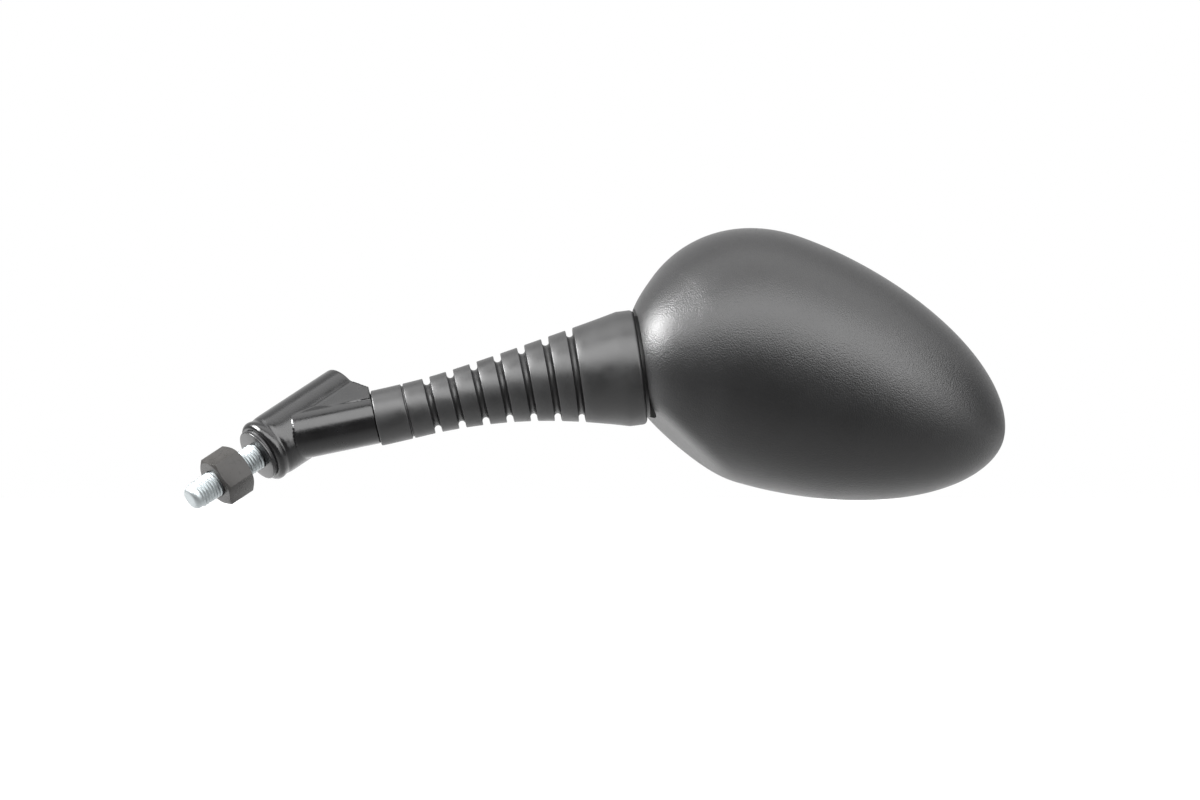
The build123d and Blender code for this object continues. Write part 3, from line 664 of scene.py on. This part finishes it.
class MIRROR_OT_housing(bpy.types.Operator):
    """Grained housing: an egg that runs into its neck, with a flat underside, a dish and an open rim"""

    bl_idname = "mirror.housing"
    bl_label = "Housing"

    big_power, big_steps, small_power, small_steps, turn_steps = 2.12, 72, 1.854, 96, 200
    dome_middle, dome_length, dome_root, dome_rise = 35.0 * MM, 21.0 * MM, 11.0 * MM, 19.0 * MM
    # The skin is made finer, and pushed out, only this far past the ball.
    fine_reach, push_reach = 42 * MM, 75 * MM
    blend, first_push, most_push = 6.0 * MM, 12 * MM, 14 * MM
    push_tries, push_share, push_settled = 40, 0.8, MM / 5000
    facet_point = Vector((159.35, 30.2, 23.2)) * MM
    facet_slope, facet_turn, facet_soft = math.radians(41.3), math.radians(7.5), 3.0 * MM
    neck_end, ball_steps = 9.0 * MM, 180
    rim_edge, rim_return, rim_weld = 0.7 * MM, 2.3 * MM, 0.1 * MM

    def egg(self, sizes):
        """Spin the egg's profile about its long axis."""
        section = []
        for length, power, start, count in ((-sizes.egg_big, self.big_power, 0.0, self.big_steps),
                                            (sizes.egg_small, self.small_power, 90.0, self.small_steps)):
            for i in range(count + (length > 0)):
                turn = math.radians(start + 90.0 * i / count)
                part = abs(math.cos(turn))
                section.append((sizes.egg_half * max(0.0, 1 - part ** power) ** (1 / power), length * part))
        return lathe(section, Vector(sizes.egg_centre), egg_axis(sizes), self.turn_steps)

    def neck_gap(self, point):
        """How far a point is outside the dome that rounds the housing in towards the boot."""
        along = (point - BALL).dot(NECK_AXIS)
        out = (point - BALL - NECK_AXIS * along).length
        part = min(max((self.dome_middle - along) / self.dome_length, 0.0), 1.0)
        return out - self.dome_root - self.dome_rise * math.sqrt(1 - part * part)

    def run_into_neck(self, bm):
        """Push the egg's skin out onto a smooth joint with the neck's dome."""
        fine = [e for e in bm.edges if all(v.co.x < BALL.x + self.fine_reach for v in e.verts)]
        bmesh.ops.subdivide_edges(bm, edges=fine, cuts=1, use_grid_fill=True)
        bm.normal_update()
        for vert in bm.verts:
            if vert.co.x > BALL.x + self.push_reach:
                continue
            out = self.first_push
            for _ in range(self.push_tries):
                gap = self.neck_gap(vert.co + vert.normal * out)
                near = max(self.blend - abs(out - gap), 0.0) / self.blend
                step = self.push_share * (min(out, gap) - near * near * self.blend / 4)
                out = min(max(out - step, 0.0), self.most_push)
                if abs(step) < self.push_settled:
                    break
            vert.co += vert.normal * out

    def flatten(self, bm):
        """Press the underside near the neck flat, with a soft edge all round."""
        slope, turn, soft = self.facet_slope, self.facet_turn, self.facet_soft
        facet = Vector((-math.sin(slope) * math.cos(turn), -math.sin(turn),
                        -math.cos(slope) * math.cos(turn)))
        for vert in bm.verts:
            proud = (vert.co - self.facet_point).dot(facet)
            near = max(soft - abs(proud), 0.0) / soft
            vert.co -= facet * (max(proud, 0.0) + near * near * soft / 4)

    def mouth(self, bm, sizes):
        """Close the neck and scoop a round dish about the ball, so that the boot's end can move in it."""
        cut(bm, BALL + NECK_AXIS * self.neck_end, -NECK_AXIS)
        bmesh.ops.contextual_create(bm, geom=[e for e in bm.edges if e.is_boundary])
        bmesh.ops.recalc_face_normals(bm, faces=bm.faces)
        half_round = arc(sizes.pocket, (0, 0), -90, 90, self.ball_steps // 2)
        return scooped(bm, lathe(half_round, BALL, NECK_AXIS, self.ball_steps))

    def rim(self, bm, sizes):
        """Cut the shell short of the rim, then turn its wall in over a rounded edge and back inside."""
        edge, wall = self.rim_edge, sizes.wall
        plane = Vector(sizes.egg_centre) - BACK * (sizes.rim_forward - edge)
        cut(bm, plane, -BACK)
        bmesh.ops.remove_doubles(bm, verts=ends_of(loop_edges(bm, plane, BACK)), dist=self.rim_weld)
        bmesh.ops.recalc_face_normals(bm, faces=bm.faces)
        bm.normal_update()
        loop = loop_edges(bm, plane, BACK)
        starts = {}
        for vert in ends_of(loop):
            flat = vert.normal - BACK * vert.normal.dot(BACK)
            starts[tuple(vert.co)] = vert.co.copy(), -flat.normalized()
        corner = arc(edge, (0, 0), 0, 90, 5)
        path = [*((edge - side, high) for side, high in corner[1:]),
                *((wall - edge + side, high) for side, high in reversed(corner)), (wall, -self.rim_return)]
        for across, forward in path:
            moved = {co: start + inward * across - BACK * forward for co, (start, inward) in starts.items()}
            loop = step_loop(bm, loop, lambda co: moved[tuple(co)])
            starts = {tuple(moved[co]): start for co, start in starts.items()}

    def execute(self, context):
        sizes = context.scene.mirror_sizes
        bm = self.egg(sizes)
        self.run_into_neck(bm)
        self.flatten(bm)
        bm = self.mouth(bm, sizes)
        self.rim(bm, sizes)
        bmesh.ops.recalc_face_normals(bm, faces=bm.faces)
        finish_piece(bm, "housing_shell", "head", "grained_plastic", ("housing",),
                     crease=25)
        return {"FINISHED"}


class MIRROR_OT_glass(bpy.types.Operator):
    """Convex mirror glass with a ground edge, inside the rim"""

    bl_idname = "mirror.glass"
    bl_label = "Glass"

    facing, weld, outline_weld = 0.9, MM / 100, 0.5 * MM
    rings, ring, edge = 9, 3.6 * MM, 0.35 * MM
    apex, apex_along, thickness = 15.2 * MM, 23.0 * MM, 2.0 * MM

    def execute(self, context):
        sizes = context.scene.mirror_sizes
        bm = bmesh.new()
        bm.from_mesh(frame["nodes"]["glass"].data)
        bmesh.ops.remove_doubles(bm, verts=bm.verts, dist=self.weld)
        bm.normal_update()
        aside = [f for f in bm.faces if f.normal.dot(BACK) > -self.facing]
        bmesh.ops.delete(bm, geom=aside, context="FACES")
        bmesh.ops.dissolve_faces(bm, faces=bm.faces)
        bmesh.ops.remove_doubles(bm, verts=bm.verts, dist=self.outline_weld)
        for _ in range(self.rings):
            middle = max(bm.faces, key=lambda face: face.calc_area())
            bmesh.ops.inset_region(bm, faces=[middle], thickness=self.ring)
        top = Vector(sizes.egg_centre) + egg_axis(sizes) * self.apex_along - BACK * self.apex
        for vert in bm.verts:
            flat = Vector((vert.co.x - top.x, 0, vert.co.z - top.z))
            vert.co.y = top.y - flat.length_squared / (2 * sizes.glass_curve)
        border = [e for e in bm.edges if e.is_boundary]
        grown = step_loop(bm, border, lambda co: co + BACK * self.thickness)
        bmesh.ops.contextual_create(bm, geom=grown)
        rounded(bm, border, self.edge, 2)
        bmesh.ops.recalc_face_normals(bm, faces=bm.faces)
        finish_piece(bm, "glass_front", "head", "mirror_silver", ("glass",))
        return {"FINISHED"}


class MIRROR_OT_fittings(bpy.types.Operator):
    """Finishes on the fittings that keep their solid shapes"""

    bl_idname = "mirror.fittings"
    bl_label = "Fittings"

    finish_of = {"zinc_steel": "zinc_plate", "black_steel": "black_oxide", "mirror": "mirror_silver"}
    own_finish = {"foam_pad": "foam", "ball_stud": "black_oxide", "retainer": "black_oxide"}

    def execute(self, context):
        for subpart in frame["record"]["subparts"]:
            node = frame["nodes"][subpart["node"]]
            slot = subpart["material_slot"]
            name = self.own_finish.get(subpart["node"], self.finish_of.get(slot, slot))
            node.data.materials.clear()
            node.data.materials.append(finishes()[name])
        return {"FINISHED"}


class MIRROR_OT_stage(bpy.types.Operator):
    """Pale floor, soft studio light and the camera"""

    bl_idname = "mirror.stage"
    bl_label = "Stage"

    floor_level, floor_half, floor_parts = -125 * MM, 4.0, 8
    # Two stretches of the floor, each from near to far, over which its colour grows from painted shade near
    # the camera to pale behind, which sets what the mirror reflects of it.
    floor_under, floor_behind = (-0.20, 0.14), (0.14, 1.2)
    under_share, behind_share = 0.55, 0.45
    floor_dark, floor_pale = (0.02, 0.02, 0.02), (0.85, 0.85, 0.85)
    room_tilt, room_from, room_to, room_dark = 0.25, -0.1, 1.05, 0.05
    lit_point = (0.14, 0.03, 0.04)
    # Name, place, width and height, and power of each lamp.
    lamps = (("front_softbox", (0.30, -0.67, 0.60), (2.4, 0.78), 35.0),
             ("top_softbox", (0.30, 0.02, 0.95), (2.4, 0.62), 10.5),
             ("key_softbox", (-0.50, -0.07, 0.38), (0.32, 0.32), 16.0),
             ("right_fill", (0.85, -0.36, 0.05), (0.5, 0.4), 1.6))
    camera_place, focal_length, sensor = (0.140, -1.2, 0.0304), 99.2, 36.0
    clip_from, clip_to = 0.05, 50.0

    def world(self):
        """White sweep that the camera sees, with a darker room behind the camera in reflections."""
        world = bpy.data.worlds.new("studio")
        bpy.context.scene.world = world
        world.use_nodes = True
        tree = world.node_tree
        coords = tree.nodes.new("ShaderNodeTexCoord")
        sight = Shade(tree, coords.outputs["Generated"])
        parts = sight.node("ShaderNodeSeparateXYZ", Vector=sight)
        away, high = sight.out(parts, 1), sight.out(parts, 2)
        lift = sight.out(sight.node("ShaderNodeMapRange", Value=away + high * self.room_tilt,
                                    From_Min=self.room_from, From_Max=self.room_to,
                                    To_Min=self.room_dark, To_Max=1.0))
        seen = sight.out(sight.node("ShaderNodeLightPath"), "Is Camera Ray")
        strength = lift * (1 - seen) + seen
        background = next(n for n in tree.nodes if n.type == "BACKGROUND")
        background.inputs["Color"].default_value = (1, 1, 1, 1)
        tree.links.new(strength.socket, background.inputs["Strength"])

    def sweep(self):
        """Floor finish: white to the camera, with painted shade near the camera that darkens its reflections.
        """
        made = Finish("pale_floor", Roughness=0.8, Emission_Strength=1.0)
        place = made.place
        away = place.out(place.node("ShaderNodeSeparateXYZ", Vector=place), 1)
        under, behind = (place.out(place.node("ShaderNodeMapRange", Value=away, From_Min=low, From_Max=high))
                         for low, high in (self.floor_under, self.floor_behind))
        # Base colour: painted shade near the camera, growing pale behind the mirror.
        made.feed("Base Color", made.tint(under * self.under_share + behind * self.behind_share,
                                          self.floor_dark, self.floor_pale))
        made.feed("Emission Color", place.out(place.node("ShaderNodeLightPath"), "Is Camera Ray"))
        return made.material

    def floor(self):
        bm = bmesh.new()
        bmesh.ops.create_grid(bm, x_segments=self.floor_parts, y_segments=self.floor_parts,
                              size=self.floor_half)
        bmesh.ops.translate(bm, verts=bm.verts, vec=(0, 0, self.floor_level))
        mesh = bpy.data.meshes.new("pale_floor")
        bm.to_mesh(mesh)
        bm.free()
        mesh.materials.append(self.sweep())
        ground = bpy.data.objects.new("pale_floor", mesh)
        bpy.context.collection.objects.link(ground)

    def light(self, name, place, size, power):
        """Area lamp that looks at the mirror, with its width level along X."""
        lamp = bpy.data.lights.new(name, "AREA")
        lamp.shape = "RECTANGLE"
        lamp.size, lamp.size_y = size
        lamp.energy = power
        made = bpy.data.objects.new(name, lamp)
        made.location = place
        back = (Vector(place) - Vector(self.lit_point)).normalized()
        across = (Vector((1, 0, 0)) - back * back.x).normalized()
        made.rotation_euler = Matrix((across, back.cross(across), back)).transposed().to_euler()
        bpy.context.collection.objects.link(made)

    def camera(self, scene):
        lens = bpy.data.cameras.new("photo_view")
        lens.sensor_width, lens.lens = self.sensor, self.focal_length
        lens.clip_start, lens.clip_end = self.clip_from, self.clip_to
        made = bpy.data.objects.new("photo_view", lens)
        made.location = self.camera_place
        made.rotation_euler = (math.radians(90), 0, 0)
        bpy.context.collection.objects.link(made)
        scene.camera = made

    def execute(self, context):
        context.scene.view_settings.view_transform = "Standard"
        self.world()
        self.floor()
        for lamp in self.lamps:
            self.light(*lamp)
        self.camera(context.scene)
        return {"FINISHED"}


STEPS = (MIRROR_OT_stage, MIRROR_OT_housing, MIRROR_OT_glass, MIRROR_OT_boot, MIRROR_OT_casting,
         MIRROR_OT_stud, MIRROR_OT_nut, MIRROR_OT_fittings)


class MIRROR_PT_sidebar(bpy.types.Panel):
    """Sizes, colours and steps of the mirror"""

    bl_idname = "MIRROR_PT_sidebar"
    bl_label = "Motorcycle mirror"
    bl_space_type = "VIEW_3D"
    bl_region_type = "UI"
    bl_category = "Mirror"

    def draw(self, context):
        for group in (context.scene.mirror_sizes, context.scene.mirror_finish):
            column = self.layout.column()
            for name in group.__annotations__:
                column.prop(group, name)
        for step in STEPS:
            self.layout.operator(step.bl_idname)


CLASSES = (MirrorSizes, MirrorFinish, *STEPS, MIRROR_PT_sidebar)


def register():
    for cls in CLASSES:
        bpy.utils.register_class(cls)
    bpy.types.Scene.mirror_sizes = PointerProperty(type=MirrorSizes)
    bpy.types.Scene.mirror_finish = PointerProperty(type=MirrorFinish)


def unregister():
    del bpy.types.Scene.mirror_finish
    del bpy.types.Scene.mirror_sizes
    for cls in reversed(CLASSES):
        bpy.utils.unregister_class(cls)


def main():
    register()
    bpy.ops.mirror.stage()
    bpy.ops.mirror.housing()
    bpy.ops.mirror.glass()
    bpy.ops.mirror.boot()
    bpy.ops.mirror.casting()
    bpy.ops.mirror.stud()
    bpy.ops.mirror.nut()
    bpy.ops.mirror.fittings()


if __name__ == "__main__":
    main()
